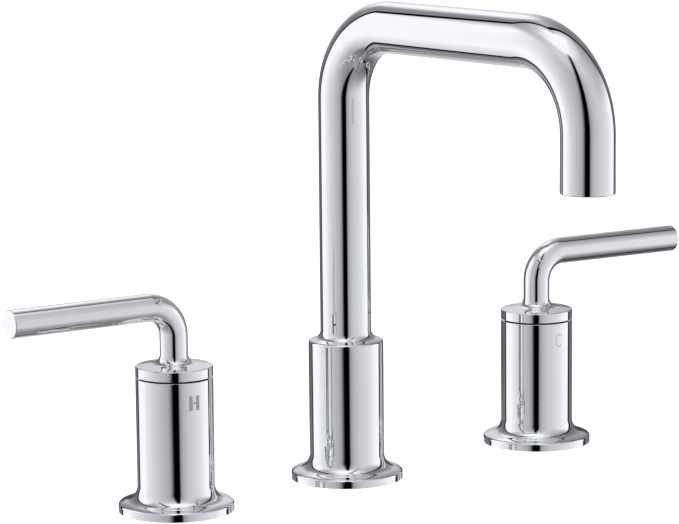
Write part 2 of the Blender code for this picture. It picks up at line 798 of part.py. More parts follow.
def make_aerator(tip):
    """Gasket, threaded housing and pierced insert in the tube's tip."""
    outer = tube_radius - tube_wall + aerator_pocket_step - gap
    inner = outer - aerator_wall
    gasket_top = tip_height + aerator_pocket_depth - gap
    housing_top = gasket_top - aerator_gasket_thickness - gap
    housing_bottom = tip_height + aerator_recess
    lip_top = housing_bottom + aerator_lip_height
    tube_ring("aerator_gasket", outer - aerator_gasket_width, outer,
              gasket_top - aerator_gasket_thickness, gasket_top, tip, rubber)
    outline = [(inner, housing_top), (outer, housing_top), (outer, housing_bottom),
               (inner - aerator_lip_width, housing_bottom), (inner - aerator_lip_width, lip_top),
               (inner, lip_top)]
    housing = turned("aerator_housing", outline, tip, parts, inner_sides, nylon)
    for number in range(aerator_notches // 2):
        notch = box("aerator_notches_%d" % number,
                    (3 * outer, aerator_notch_width, 2 * aerator_notch_depth),
                    (0, 0, housing_bottom), tip, cutters,
                    aerator_notch_turn_deg + 180 * number / (aerator_notches / 2))
        cut(housing, notch)
    insert_bottom = lip_top + gap
    insert = prism("aerator_insert", inner - gap, insert_bottom,
                   insert_bottom + aerator_insert_height, inner_sides, tip, parts, nylon)
    for number, (x, y) in enumerate(hole_places()):
        hole = prism("aerator_hole_%d" % number, aerator_hole_radius, insert_bottom - overrun,
                     insert_bottom + aerator_insert_height + overrun, ring_sides, tip, cutters)
        hole.location = (x, y, 0)
        cut(insert, hole)


def hole_places():
    """One hole in the middle and a ring of holes round it."""
    places = [(0, 0)]
    for number in range(aerator_outer_holes):
        angle = math.tau * number / aerator_outer_holes
        places.append((aerator_hole_pitch * math.cos(angle), aerator_hole_pitch * math.sin(angle)))
    return places


def make_spout_shank(station):
    """The threaded tube that carries the spout through the deck, and its seal."""
    groove_z = shank_top_end - shank_ring_drop
    ring_centre = spout_shank_radius - shank_ring_section
    groove_floor = ring_centre - shank_ring_section - gap
    groove_half = shank_ring_section * ring_groove_share / 2
    outline = [(spout_shank_bore, shank_top_end),
               (spout_shank_radius - nipple_chamfer, shank_top_end),
               (spout_shank_radius, shank_top_end - nipple_chamfer),
               (spout_shank_radius, groove_z + groove_half),
               (groove_floor, groove_z + groove_half), (groove_floor, groove_z - groove_half),
               (spout_shank_radius, groove_z - groove_half),
               (spout_shank_radius, spout_shank_bottom), (spout_shank_bore, spout_shank_bottom)]
    turned("spout_shank", outline, station, parts, inner_sides, brass)
    o_ring("spout_shank_o_ring", ring_centre, shank_ring_section, groove_z, station, rubber)


def make_inlet_tee(station):
    """The tee that gathers hot and cold water below the spout, with a nipple each side."""
    top = spout_shank_bottom + tee_socket_depth
    chamber_bottom = tee_shoulder - tee_chamber_depth
    bottom = chamber_bottom - tee_floor
    outline = [(0, top), (tee_radius, top), (tee_radius, bottom + nipple_chamfer),
               (tee_radius - nipple_chamfer, bottom), (0, bottom)]
    tee = turned("inlet_tee", outline, station, parts, inner_sides, brass, ring=False)
    arms = side_cylinder("inlet_tee_arms", side_nipple_radius, -side_nipple_reach,
                         side_nipple_reach, side_outlet_height, 0, small_sides, station,
                         cutters)
    break_edges(arms, nipple_chamfer)
    core_outline = [(0, top + overrun), (spout_shank_radius + gap, top + overrun),
                    (spout_shank_radius + gap, tee_shoulder), (spout_shank_bore, tee_shoulder),
                    (spout_shank_bore, chamber_bottom), (0, chamber_bottom)]
    core = turned("inlet_tee_core", core_outline, station, cutters, inner_sides, ring=False)
    side_bore = side_cylinder("inlet_tee_bore", side_bore_radius, -side_nipple_reach - overrun,
                              side_nipple_reach + overrun, side_outlet_height, 0, small_sides,
                              station, cutters)
    join(tee, arms)
    cut(tee, core)
    cut(tee, side_bore)
    tube_ring("inlet_tee_gasket", spout_shank_bore, spout_shank_radius, tee_shoulder + gap,
              tee_shoulder + gap + tee_gasket_thickness, station, rubber)


def link_axis(name, x, tilt_deg):
    """An empty on the line of the outlets, its own +Z level and pointing along the row."""
    axis = new_empty(name, x, 0)
    axis.location.z = side_outlet_height
    axis.rotation_euler.y = math.radians(tilt_deg)
    return axis


def make_link_end(name, x, tilt_deg, half):
    """The gasket on a nipple's end face and the coupling nut that holds the tube's collar."""
    axis = link_axis(name + "_axis", x, tilt_deg)
    gasket_top = half - gap
    gasket_bottom = gasket_top - link_gasket_thickness
    shoulder = gasket_bottom - gap - link_collar_length - gap
    nut_bottom = shoulder - link_nut_back
    nut_top = half + link_nut_grip
    tube_ring(name + "_gasket", link_tube_radius - link_tube_wall, link_collar_radius,
              gasket_bottom, gasket_top, axis, rubber, small_sides)
    nut = prism(name + "_nut", link_nut_flats / 2 / math.cos(math.pi / 6), nut_bottom, nut_top, 6,
                axis, parts, brass)
    core_outline = [(0, nut_top + overrun), (side_nipple_radius + gap, nut_top + overrun),
                    (side_nipple_radius + gap, shoulder), (link_tube_radius + gap, shoulder),
                    (link_tube_radius + gap, nut_bottom - overrun), (0, nut_bottom - overrun)]
    core = turned(name + "_core", core_outline, axis, cutters, small_sides, ring=False)
    cut(nut, core)


def make_link(side, valve_x, tee_x):
    """A collared tube that carries one valve's water to the tee, with a nut at each end."""
    middle = (valve_x + tee_x) / 2
    half = abs(tee_x - valve_x) / 2
    towards_tee = math.copysign(90, tee_x - valve_x)
    end = half - link_gasket_thickness - 2 * gap
    bore = link_tube_radius - link_tube_wall
    outline = [(bore, end), (link_collar_radius, end),
               (link_collar_radius, end - link_collar_length),
               (link_tube_radius, end - link_collar_length),
               (link_tube_radius, link_collar_length - end),
               (link_collar_radius, link_collar_length - end), (link_collar_radius, -end),
               (bore, -end)]
    axis = link_axis(side + "_link_axis", middle, towards_tee)
    turned(side + "_link_tube", outline, axis, parts, small_sides, brass)
    make_link_end(side + "_link_tee", middle, towards_tee, half)
    make_link_end(side + "_link_valve", middle, -towards_tee, half)


def make_spout():
    station = new_empty("spout_station", 0, 0)
    tip = new_empty("spout_tip", 0, 0)
    tip.location = (0, -spout_reach, 0)
    make_spout_base(station)
    make_spout_tube(station)
    make_spout_shank(station)
    make_deck_gasket("spout_deck_gasket", station)
    make_clamp("spout", station, spout_shank_radius)
    make_inlet_tee(station)
    make_aerator(tip)


def shade():
    """Round pieces are shaded smooth, with their sharp edges kept."""
    bpy.context.view_layer.update()
    graph = bpy.context.evaluated_depsgraph_get()
    finished = {}
    for shape in parts.objects:
        if shape.type == "MESH":
            finished[shape] = bpy.data.meshes.new_from_object(shape.evaluated_get(graph))
    for shape, mesh in finished.items():
        shape.modifiers.clear()
        shape.data = mesh
        mesh.shade_smooth()
        mesh.set_sharp_from_angle(angle=math.radians(shaded_edge_deg))


clear_scene()
parts = new_collection("widespread_faucet")
cutters = new_collection("cutters")
chrome = new_material("chrome", (0.80, 0.81, 0.83), 1.0, 0.05)
brass = new_material("brass", (0.78, 0.60, 0.30), 1.0, 0.28)
steel = new_material("steel", (0.62, 0.62, 0.63), 1.0, 0.30)
rubber = new_material("rubber", (0.03, 0.03, 0.03), 0.0, 0.70)
nylon = new_material("nylon", (0.80, 0.80, 0.78), 0.0, 0.40)
ceramic = new_material("ceramic", (0.88, 0.86, 0.82), 0.0, 0.15)
make_valve("hot", hot_x, 180 + hot_turn_deg, 0, -1)
make_valve("cold", cold_x, cold_turn_deg, 180, 1)
make_spout()
make_link("hot", hot_x + side_nipple_reach, -side_nipple_reach)
make_link("cold", cold_x - side_nipple_reach, side_nipple_reach)
shade()
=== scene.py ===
import json
import math

import bmesh
import bpy
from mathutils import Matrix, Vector


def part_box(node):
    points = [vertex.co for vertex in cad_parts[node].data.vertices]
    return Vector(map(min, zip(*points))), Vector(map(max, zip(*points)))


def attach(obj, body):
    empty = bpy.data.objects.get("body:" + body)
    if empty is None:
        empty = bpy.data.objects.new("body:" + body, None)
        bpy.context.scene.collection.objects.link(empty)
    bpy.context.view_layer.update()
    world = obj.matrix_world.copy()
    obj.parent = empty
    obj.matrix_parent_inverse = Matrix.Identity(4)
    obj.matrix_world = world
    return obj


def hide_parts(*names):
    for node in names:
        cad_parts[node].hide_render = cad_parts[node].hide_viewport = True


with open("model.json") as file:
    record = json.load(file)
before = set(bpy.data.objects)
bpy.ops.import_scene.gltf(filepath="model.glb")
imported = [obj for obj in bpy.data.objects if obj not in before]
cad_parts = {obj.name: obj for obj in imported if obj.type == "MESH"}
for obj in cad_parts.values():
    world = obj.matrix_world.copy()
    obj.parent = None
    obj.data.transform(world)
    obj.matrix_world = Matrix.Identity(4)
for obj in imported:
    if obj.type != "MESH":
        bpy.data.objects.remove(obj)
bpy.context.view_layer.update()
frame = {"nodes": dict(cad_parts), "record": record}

# Sizes in metres, in the frame's own axes: +X towards the cold valve, -Y towards the user, +Z up
millimetre = 0.001
upward = Vector((0, 0, 1))
coldward = Vector((1, 0, 0))
frontward = Vector((0, -1, 0))

# How finely curves are cut
sides = 160
hardware_sides = 72
drill_sides = 36
round_steps = 10
fillet_steps = 24
bend_steps = 48
bore_bend_steps = 24
end_round_steps = 6
washer_round_steps = 4
support = 0.25 * millimetre
sharp_angle = math.radians(28)

# Plated outer form shared by the escutcheons and the spout base
body_radius = 16.25 * millimetre
flange_radius = 24.3 * millimetre
flange_edge = 2.4 * millimetre
flange_edge_round = 1.3 * millimetre
flange_rim_angle = math.radians(65)
flange_cove_angle = math.radians(76)
flange_dome_share = 1.8
shell_wall = 2.0 * millimetre
gasket_rebate = 2.0 * millimetre
gasket_rebate_radius = 22.8 * millimetre
edge_round = 0.35 * millimetre

# Lever handle
cap_edge_top = 61.4 * millimetre
cap_edge_round = 0.6 * millimetre
cap_slope = math.radians(7.3)
cap_bottom = 57.2 * millimetre
rod_radius = 5.9 * millimetre
rod_foot_fillet = 4.2 * millimetre
lever_height = 86.8 * millimetre
lever_length = 76.6 * millimetre
lever_bend_radius = 12.8 * millimetre
lever_end_round = 0.5 * millimetre
boss_radius = 8.5 * millimetre
boss_bottom = 50.8 * millimetre
boss_bore_radius = 4.5 * millimetre
boss_bore_top = 61.4 * millimetre
hot_turn = math.radians(-5)
cold_turn = math.radians(-7)

# Spout
base_top = 61.1 * millimetre
base_edge_round = 1.4 * millimetre
base_slope = math.radians(20)
tube_radius = 11.0 * millimetre
tube_bore_radius = 9.0 * millimetre
tube_foot_fillet = 3.6 * millimetre
tube_bottom = 48.3 * millimetre
arm_height = 198.2 * millimetre
spout_reach = 152.3 * millimetre
tip_height = 140.3 * millimetre
first_bend_radius = 32.1 * millimetre
second_bend_radius = 34.8 * millimetre
tip_round = 0.45 * millimetre
pocket_radius = 9.6 * millimetre
pocket_top = 155.3 * millimetre

# Letters let into the front of the escutcheons
mark_width = 4.8 * millimetre
mark_height = 6.2 * millimetre
mark_stem = 1.6 * millimetre
mark_bar = 0.6 * millimetre
mark_bar_shares = (-1, -0.5, 0, 0.5, 1)
mark_curve_share = 0.8
mark_mouth = math.radians(80)
mark_steps = 28
hot_mark_centre = 47.9 * millimetre
hot_mark_heading = math.radians(-96)
cold_mark_centre = 48.8 * millimetre
cold_mark_heading = math.radians(-93.1)
mark_depth = 0.10 * millimetre
mark_proud = 0.02 * millimetre

# Screw let into the back of each cap
screw_height = 59.25 * millimetre
screw_hole_radius = 1.55 * millimetre
screw_hole_start = 5.0 * millimetre
screw_hole_end = 17.0 * millimetre
hot_screw_heading = math.radians(85)
cold_screw_heading = math.radians(83)

# Hardware below the deck
play = 0.3 * millimetre
edge_break = 0.4 * millimetre
thread_pitch = 2.0 * millimetre
thread_depth = 0.6 * millimetre
thread_steps = 6
shank_radius = 13.0 * millimetre
shank_top = 23.5 * millimetre
neck_radius = 12.4 * millimetre
neck_top = 40.0 * millimetre
chamber_radius = 9.8 * millimetre
chamber_floor = 16.5 * millimetre
block_radius = 15.5 * millimetre
block_top = -54.0 * millimetre
block_bottom = -86.0 * millimetre
block_chamfer = 2.0 * millimetre
supply_radius = 10.4 * millimetre
supply_bottom = -105.0 * millimetre
supply_bore = 4.2 * millimetre
outlet_height = -70.0 * millimetre
outlet_radius = 8.3 * millimetre
outlet_bore = 4.8 * millimetre
outlet_bore_start = 7.2 * millimetre
outlet_reach = 30.0 * millimetre
nipple_chamfer = 1.0 * millimetre
passage_radius = 1.8 * millimetre
passage_reach = 9.35 * millimetre
passage_spread = math.radians(26)
spout_shank_radius = 10.45 * millimetre
spout_shank_bore = 6.8 * millimetre
spout_thread_top = 34.0 * millimetre
ring_groove_radius = 8.35 * millimetre
ring_groove_low = 37.2 * millimetre
ring_groove_high = 40.1 * millimetre
tee_radius = 15.0 * millimetre
tee_top = -49.4 * millimetre
tee_bottom = -79.5 * millimetre
tee_shoulder = -64.5 * millimetre
tee_chamber_bottom = -75.5 * millimetre
washer_radius = 21.5 * millimetre
gasket_radius = 22.5 * millimetre
gasket_bore = 17.8 * millimetre
locknut_flat_radius = 18.0 * millimetre
locknut_collar = 2.0 * millimetre
link_radius = 5.2 * millimetre
link_bore = 4.2 * millimetre
link_collar_radius = 7.4 * millimetre
link_collar_length = 1.8 * millimetre
link_nut_flat_radius = 10.5 * millimetre
link_nut_shoulder = 2.6 * millimetre
nut_chamfer = 1.2 * millimetre
nut_corner_rise = 0.4 * millimetre
link_nut_corner_cut = 0.6 * millimetre

# Noise of the finishes, and the parts of its range that show
patch_detail = 3.0
patch_range = (0.35, 0.65)
grain_detail = 6.0
grain_range = (0.3, 0.7)

# Light tent round the object. Headings are in degrees to the right of the camera, heights in
# degrees above the tent's middle, and places and widths on the seam in shares of the radius.
tent_radius = 950 * millimetre
tent_centre = 100 * millimetre
tent_segments = 96
tent_rings = 48
tent_strength = 1.1
half_circle = 180
bright_tint = (0.955, 0.962, 1.0)
dim_tint = (0.85, 0.875, 1.0)
tint_tones = (0.08, 0.45)
opening_left = -6.5
opening_left_lean = 0.14
opening_left_fade = (-12, 1)
opening_right = 9.8
opening_right_lean = -0.03
opening_right_fade = (-2, 4)
opening_top_fade = (60, 66)
left_seam_slants = (0.80, 0.72)
right_seam_slants = (0.66, 0.585)
seam_slant_heights = (-1, 8)
seam_side_fade = 0.02
seam_bend = 0.7
seam_climb = 0.6
seam_half_widths = (0.085, 0.06)
seam_width_heights = (0, 10)
seam_fade = 0.02
front_fade = 0.01

# Tones of the cloth from black to full white, at headings round the tent
front_low_tones = ((-180, 1.0), (-98, 1.0), (-90, 0.90), (-80, 0.80), (-60, 0.65), (-40, 0.54),
                   (-22, 0.43), (-16, 0.36), (14, 0.35), (21, 0.47), (35, 0.58), (60, 0.69), (80, 0.80),
                   (95, 0.94), (108, 1.0), (180, 1.0))
front_middle_tones = ((-180, 1.0), (-100, 1.0), (-80, 0.80), (-60, 0.65), (-40, 0.54),
                      (-20, 0.44), (14, 0.43), (30, 0.56), (50, 0.60), (70, 0.54), (90, 0.49),
                      (102, 0.42), (112, 0.28), (120, 0.22), (180, 0.22))
front_high_tones = ((-180, 0.36), (-122, 0.38), (-105, 0.45), (-90, 0.52), (-60, 0.61),
                    (-40, 0.68), (-14, 0.60), (14, 0.58), (30, 0.66), (60, 0.56), (90, 0.44),
                    (105, 0.39), (113, 0.32), (180, 0.32))
front_top_tones = ((-180, 0.45), (-108, 0.54), (-90, 0.66), (-75, 0.84), (-60, 0.94), (-40, 1.0),
                   (20, 0.98), (45, 0.83), (75, 0.71), (115, 0.66), (180, 0.50))
crown_tones = ((-180, 0.45), (-125, 0.70), (-95, 1.0), (95, 1.0), (125, 0.70), (180, 0.45))
back_low_tones = ((-180, 0.56), (-173, 0.50), (-167, 0.08), (-158, 0.07), (-150, 0.13),
                  (-136, 0.17), (0, 0.16), (124, 0.15), (134, 0.20), (148, 0.14), (158, 0.07),
                  (167, 0.08), (173, 0.50), (180, 0.56))
back_middle_tones = ((-180, 0.72), (-166, 0.64), (-156, 0.32), (-142, 0.20), (0, 0.14),
                     (124, 0.14), (140, 0.20), (156, 0.30), (165, 0.42), (173, 0.68), (180, 0.72))
back_high_tones = ((-180, 1.0), (-164, 0.98), (-156, 0.52), (-148, 0.28), (0, 0.20), (128, 0.20),
                   (150, 0.24), (168, 0.45), (180, 0.85))
back_top_tones = ((-180, 0.50), (-160, 0.38), (-145, 0.22), (0, 0.20), (130, 0.24), (165, 0.40),
                  (180, 0.50))

# Heights between which each layer of tones takes over from the one below
front_layers = ((12, 36, front_middle_tones), (38, 51, front_high_tones),
                (56, 67, front_top_tones), (68, 78, crown_tones))
back_layers = ((2, 9, back_middle_tones), (24, 36, back_high_tones), (50, 66, back_top_tones))

# Floor and lamp
floor_half_width = 3000 * millimetre
floor_drop = 0.1 * millimetre
floor_glow = 0.75
floor_colour = (0.7, 0.7, 0.7, 1)
floor_slants = (0.0, 0.65)
floor_sheens = (0.3, 1.0)
lamp_width = 1100 * millimetre
lamp_height = 900 * millimetre
lamp_power = 6.0

# Camera, fitted to the photograph
camera_target = Vector((-0.1, 3.8, 94.3)) * millimetre
camera_heading = math.radians(-38.74)
camera_elevation = math.radians(9.23)
camera_distance = 1392.5 * millimetre
camera_roll = math.radians(-0.54)
camera_sensor = 36.0
camera_lens = 170.66


def station_x(node):
    """The x of a station's axis, from the CAD node that stands round it."""
    low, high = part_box(node)
    return (low[0] + high[0]) / 2


def arc_points(centre_r, centre_z, radius, start, end, steps):
    """Points (r, z) along an arc, angles measured up from the outward direction."""
    points = []
    for step in range(steps + 1):
        angle = start + (end - start) * step / steps
        points.append((centre_r + radius * math.cos(angle), centre_z + radius * math.sin(angle)))
    return points


def with_supports(points):
    """Adds a point close to each end of every long straight stretch of an outline."""
    supported = [points[0]]
    for (r0, z0), (r1, z1) in zip(points, points[1:]):
        length = math.hypot(r1 - r0, z1 - z0)
        if length > 4 * support:
            share = support / length
            supported.append((r0 + (r1 - r0) * share, z0 + (z1 - z0) * share))
            supported.append((r1 - (r1 - r0) * share, z1 - (z1 - z0) * share))
        supported.append((r1, z1))
    return supported


def upright_rings(points, x, y):
    """Level rings round a vertical axis, one for each point (r, z)."""
    return [(Vector((x, y, z)), upward, r) for r, z in with_supports(points)]


def bend_rings(corner, arrive, leave, radius, ring_radius, steps=bend_steps):
    """Rings round a quarter bend between two square directions."""
    rings = []
    for step in range(steps + 1):
        angle = math.pi / 2 * step / steps
        centre = corner - radius * arrive + radius * leave
        centre = centre + radius * (arrive * math.sin(angle) - leave * math.cos(angle))
        along = arrive * math.cos(angle) + leave * math.sin(angle)
        rings.append((centre, along, ring_radius))
    return rings


def ring_mesh(name, rings, side, closed=False, count=sides):
    """A surface through rings of equal count, whose radius may be a function of the angle. Both
    ends are capped unless it closes on itself."""
    mesh = bpy.data.meshes.new(name)
    shape = bmesh.new()
    loops = []
    for centre, along, radius in rings:
        across = along.cross(side)
        loop = []
        for step in range(count):
            angle = math.tau * step / count
            offset = side * math.cos(angle) + across * math.sin(angle)
            reach = radius(angle) if callable(radius) else radius
            loop.append(shape.verts.new(centre + reach * offset))
        loops.append(loop)
    pairs = list(zip(loops, loops[1:]))
    if closed:
        pairs.append((loops[-1], loops[0]))
    for lower, upper in pairs:
        for step in range(count):
            after = (step + 1) % count
            shape.faces.new((lower[step], lower[after], upper[after], upper[step]))
    if not closed:
        shape.faces.new(list(reversed(loops[0])))
        shape.faces.new(loops[-1])
    bmesh.ops.recalc_face_normals(shape, faces=shape.faces)
    shape.to_mesh(mesh)
    shape.free()
    mesh.shade_smooth()
    mesh.set_sharp_from_angle(angle=sharp_angle)
    piece = bpy.data.objects.new(name, mesh)
    bpy.context.scene.collection.objects.link(piece)
    return piece


def finish_piece(piece, body, material, nodes):
    """Gives a piece its material and the body that it moves with, and hides the CAD nodes it replaces.
    """
    piece.data.materials.append(material)
    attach(piece, body)
    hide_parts(*nodes)


def combine(piece, tool, operation):
    """Joins a tool's solid to a piece or cuts it away, and removes the tool."""
    change = piece.modifiers.new(operation, "BOOLEAN")
    change.operation = operation
    change.solver = "EXACT"
    change.object = tool
    ready = piece.evaluated_get(bpy.context.evaluated_depsgraph_get())
    mesh = bpy.data.meshes.new_from_object(ready)
    piece.modifiers.clear()
    piece.data = mesh
    mesh.set_sharp_from_angle(angle=sharp_angle)
    bpy.data.objects.remove(tool)


def straight_rings(points, centre, along):
    """Rings round a straight axis, one for each point (r, distance along the axis)."""
    return [(centre + along * distance, along, radius) for radius, distance in points]


def rod(name, radius, centre, along, start, end):
    """A plain round bar, used to join or cut."""
    side = along.orthogonal().normalized()
    points = [(radius, start), (radius, end)]
    return ring_mesh(name, straight_rings(points, centre, along), side, count=drill_sides)


def thread_radius(crest, distance):
    """The radius of a thread at a place along it, as a function of the angle round it."""
    def at_angle(angle):
        wave = math.cos(distance / thread_pitch * math.tau - angle)
        return crest - thread_depth * (1 - wave) / 2
    return at_angle


def thread_points(crest, start, end):
    """Outline of a single-start thread, run out to its root at both ends."""
    steps = round(abs(end - start) / thread_pitch * thread_steps)
    points = [(crest - thread_depth, start)]
    for step in range(1, steps):
        distance = start + (end - start) * step / steps
        points.append((thread_radius(crest, distance), distance))
    return points + [(crest - thread_depth, end)]


def hexagon_radius(flat_radius, limit):
    """The radius of a six-sided bar, held to a limit, as a function of the angle round it."""
    def at_angle(angle):
        from_flat = (angle + math.pi / 6) % (math.pi / 3) - math.pi / 6
        return min(limit, flat_radius / math.cos(from_flat))
    return at_angle


def flange_outline():
    """The plated form from the deck up over the rim, dome and cove to the straight body."""
    rim_r = flange_radius - flange_edge_round
    dome_radius = flange_dome_share * (flange_radius - body_radius)
    rim = arc_points(rim_r, flange_edge, flange_edge_round, 0, flange_rim_angle, round_steps)
    start_r, start_z = rim[-1]
    dome = arc_points(start_r - dome_radius * math.cos(flange_rim_angle),
                      start_z - dome_radius * math.sin(flange_rim_angle), dome_radius,
                      flange_rim_angle, flange_cove_angle, round_steps)
    cove_r, cove_z = dome[-1]
    cove_radius = (cove_r - body_radius) / (1 - math.cos(flange_cove_angle))
    cove = arc_points(body_radius + cove_radius, cove_z + cove_radius * math.sin(flange_cove_angle),
                      cove_radius, math.pi + flange_cove_angle, math.pi, fillet_steps)
    return [(flange_radius, 0)] + rim + dome[1:] + cove[1:]


def rounded_top(radius, top, rounding, slope=0.0):
    """The upper outer corner of a turned piece, from its side in to its top's slope."""
    return arc_points(radius - rounding, top - rounding, rounding, 0, math.pi / 2 - slope,
                      round_steps)


def crown(top, rounding, slope, foot_radius, fillet_radius):
    """A sloping top: its rounded edge, then the fillet up to the stem that stands on it."""
    edge = rounded_top(body_radius, top, rounding, slope)
    edge_r, edge_z = edge[-1]
    meet_r = foot_radius + fillet_radius * (1 - math.sin(slope))
    meet_z = edge_z + (edge_r - meet_r) * math.tan(slope)
    return edge + arc_points(foot_radius + fillet_radius, meet_z + fillet_radius * math.cos(slope),
                             fillet_radius, 1.5 * math.pi - slope, math.pi, fillet_steps)


def make_escutcheon(name, node, material):
    """A flared shell, open inside, with a rebate for the gasket under its flange."""
    x = station_x(node)
    low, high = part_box(node)
    top = high[2]
    bore = body_radius - shell_wall
    outline = [(bore, gasket_rebate + 10 * support), (bore, gasket_rebate),
               (gasket_rebate_radius, gasket_rebate), (gasket_rebate_radius, 0)]
    outline += flange_outline() + rounded_top(body_radius, top, edge_round) + [(bore, top)]
    piece = ring_mesh(name, upright_rings(outline, x, 0), coldward, closed=True)
    finish_piece(piece, "deck_set", material, [node])


def drill_screw_hole(lever, x, heading):
    """The hole in the back of a cap, in which the CAD part's set screw sits."""
    out = Vector((math.cos(heading), math.sin(heading), 0))
    hole = rod(lever.name + "_hole", screw_hole_radius, Vector((x, 0, screw_height)), out,
               screw_hole_start, screw_hole_end)
    combine(lever, hole, "DIFFERENCE")


def make_lever(name, node, heading, screw_heading, body, material):
    """Cap, stem and lever in one: turned from the boss to the stem, then swept to the end."""
    x = station_x(node.replace("lever_handle", "escutcheon"))
    out = Vector((math.cos(heading), math.sin(heading), 0))
    outline = [(boss_bore_radius, boss_bore_top), (boss_bore_radius, boss_bottom),
               (boss_radius, boss_bottom), (boss_radius, cap_bottom), (body_radius, cap_bottom)]
    outline += crown(cap_edge_top, cap_edge_round, cap_slope, rod_radius, rod_foot_fillet)
    bend_start = lever_height - lever_bend_radius
    outline += [(rod_radius, bend_start - support)]
    rings = upright_rings(outline, x, 0)
    corner = Vector((x, 0, lever_height))
    rings += bend_rings(corner, upward, out, lever_bend_radius, rod_radius)
    reach = lever_length - lever_end_round
    for length in (lever_bend_radius + support, reach - support):
        rings.append((corner + out * length, out, rod_radius))
    for r, z in arc_points(rod_radius - lever_end_round, reach, lever_end_round, 0, math.pi / 2,
                           end_round_steps):
        rings.append((corner + out * z, out, r))
    piece = ring_mesh(name, rings, upward.cross(out))
    drill_screw_hole(piece, x, screw_heading)
    finish_piece(piece, body, material, [node])


def spout_outside(first_corner, second_corner, drop):
    """Rings from inside the base's foot, over the flange and up round the tube to its tip."""
    bore = body_radius - shell_wall
    outline = [(bore, tube_bottom), (bore, gasket_rebate), (gasket_rebate_radius, gasket_rebate),
               (gasket_rebate_radius, 0)]
    outline += flange_outline()
    outline += crown(base_top, base_edge_round, base_slope, tube_radius, tube_foot_fillet)
    outline += [(tube_radius, arm_height - first_bend_radius - support)]
    rings = upright_rings(outline, 0, 0)
    rings += bend_rings(first_corner, upward, frontward, first_bend_radius, tube_radius)
    for length in (first_bend_radius + support, spout_reach - second_bend_radius - support):
        rings.append((first_corner + frontward * length, frontward, tube_radius))
    rings += bend_rings(second_corner, frontward, -upward, second_bend_radius, tube_radius)
    points = [(tube_radius, -drop), (tube_radius, -tip_height - tip_round - support)]
    points += arc_points(tube_radius - tip_round, -tip_height - tip_round, tip_round, 0,
                         math.pi / 2, end_round_steps)
    return rings + straight_rings(points, frontward * spout_reach, -upward)


def spout_inside(first_corner, second_corner, drop):
    """Rings from the tip up through the aerator's pocket and back down the tube's bore."""
    points = [(pocket_radius, -tip_height), (pocket_radius, -pocket_top),
              (tube_bore_radius, -pocket_top), (tube_bore_radius, -drop)]
    rings = straight_rings(points, frontward * spout_reach, -upward)
    rings += reversed(bend_rings(second_corner, frontward, -upward, second_bend_radius,
                                 tube_bore_radius, bore_bend_steps))
    rings += reversed(bend_rings(first_corner, upward, frontward, first_bend_radius,
                                 tube_bore_radius, bore_bend_steps))
    rings.append((upward * tube_bottom, upward, tube_bore_radius))
    return rings


def make_spout(material):
    """Base and tube brazed into one, with the tube's bore and the aerator's pocket."""
    first_corner = upward * arm_height
    second_corner = first_corner + frontward * spout_reach
    drop = arm_height - second_bend_radius - support
    rings = spout_outside(first_corner, second_corner, drop)
    rings += spout_inside(first_corner, second_corner, drop)
    piece = ring_mesh("spout", rings, coldward, closed=True)
    finish_piece(piece, "deck_set", material, ["spout_base", "spout_tube"])


def make_hardware(name, points, centre, along, side, material, node):
    """A turned or six-sided piece of the clamp hardware, from a closed outline."""
    piece = ring_mesh(name, straight_rings(points, centre, along), side, closed=True,
                      count=hardware_sides)
    finish_piece(piece, "deck_set", material, [node])
    return piece


def flat_ring_points(inner, outer, low, high, rounding):
    """Outline of a washer or gasket with rounded outer edges."""
    points = [(inner, low)]
    points += arc_points(outer - rounding, low + rounding, rounding, -math.pi / 2, 0,
                         washer_round_steps)
    points += arc_points(outer - rounding, high - rounding, rounding, 0, math.pi / 2,
                         washer_round_steps)
    return points + [(inner, high)]


def make_flat_ring(name, node, inner, outer, material):
    """A washer or gasket between the top and bottom of its CAD node."""
    low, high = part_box(node)
    thickness = high[2] - low[2]
    points = flat_ring_points(inner, outer, low[2], high[2], min(edge_break, thickness / 3))
    make_hardware(name, points, coldward * station_x(node), upward, coldward, material, node)


def make_locknut(name, node, inner, material):
    """A brass nut with a round collar on top and chamfered corners."""
    low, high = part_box(node)
    bottom = low[2]
    top = high[2]
    shoulder = top - locknut_collar
    corner = locknut_flat_radius / math.cos(math.pi / 6)
    chamfered = hexagon_radius(locknut_flat_radius, corner - nut_chamfer)
    full = hexagon_radius(locknut_flat_radius, corner)
    collar_radius = locknut_flat_radius - edge_break
    points = [(inner, bottom + edge_break), (inner + edge_break, bottom),
              (collar_radius, bottom), (chamfered, bottom + nut_corner_rise),
              (full, bottom + nut_chamfer), (full, shoulder - nut_chamfer),
              (chamfered, shoulder - nut_corner_rise), (collar_radius, shoulder),
              (collar_radius, top - edge_break), (collar_radius - edge_break, top),
              (inner + edge_break, top), (inner, top - edge_break)]
    make_hardware(name, points, coldward * station_x(node), upward, coldward, material,
                  node)


def join_outlet(piece, centre, out):
    """Joins a threaded side nipple to a body or tee, and drills it."""
    thread_end = outlet_reach - nipple_chamfer
    points = [(outlet_radius, block_radius / 2), (outlet_radius, block_radius + edge_break)]
    points += thread_points(outlet_radius, block_radius + 2 * edge_break, thread_end)
    points += [(outlet_radius - nipple_chamfer, outlet_reach)]
    nipple = ring_mesh(piece.name + "_nipple", straight_rings(points, centre, out), upward,
                       count=hardware_sides)
    combine(piece, nipple, "UNION")
    bore = rod(piece.name + "_bore", outlet_bore, centre, out, outlet_bore_start,
               outlet_reach + nipple_chamfer)
    combine(piece, bore, "DIFFERENCE")


